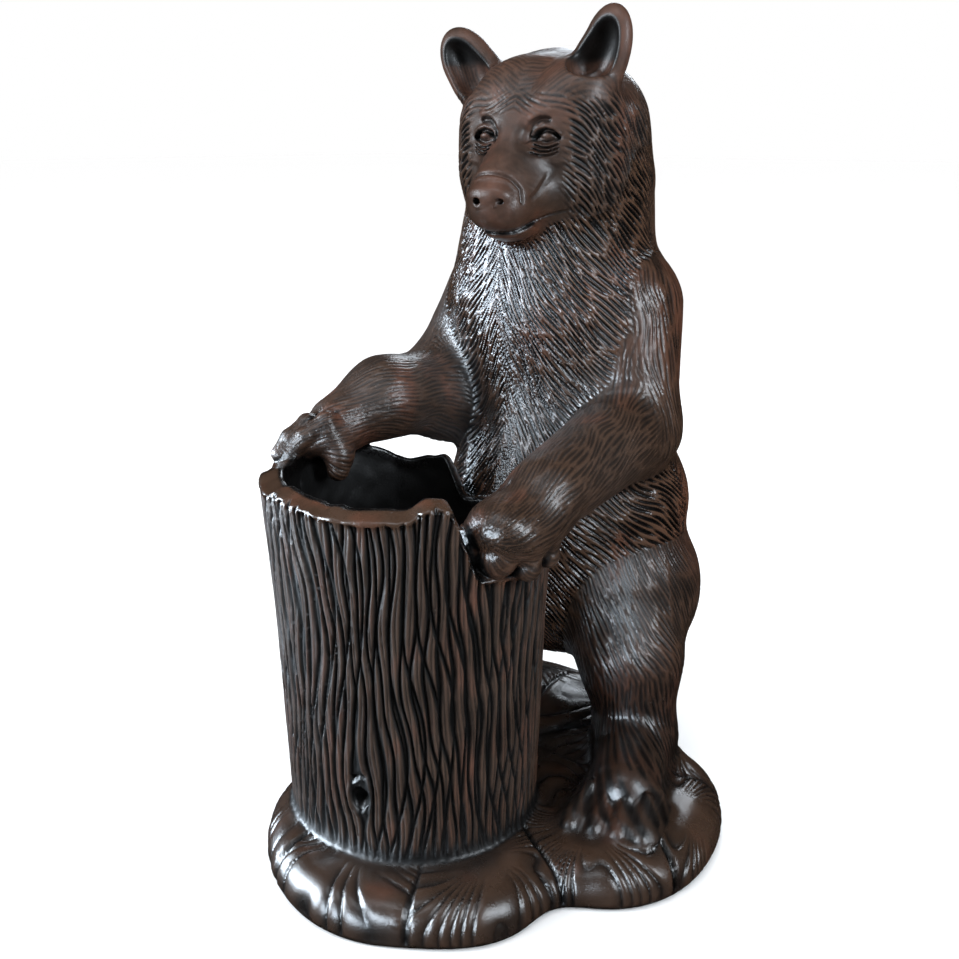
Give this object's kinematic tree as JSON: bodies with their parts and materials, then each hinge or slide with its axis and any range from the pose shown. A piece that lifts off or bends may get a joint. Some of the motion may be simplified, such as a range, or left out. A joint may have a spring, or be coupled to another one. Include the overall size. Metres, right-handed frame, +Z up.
{
  "type": "bear statue",
  "caption": "Standing bear cub cast with a hollow tree stump under its forepaws, on a leafy mound, in dark glossy resin.",
  "frame": {"origin": "on the flat underside, below the line where the stump's back meets the bear's belly", "axes": "+Z up; the bear faces -Y, over the stump, and its left side is +X"},
  "size_m": [0.5154, 0.5484, 0.7941],
  "materials": {
    "resin": "dark brown cast resin, blackish in the carving and reddish on worn crests, under a clear gloss"
  },
  "bodies": {
    "root": {"bear_statue": "resin"}
  },
  "joints": []
}
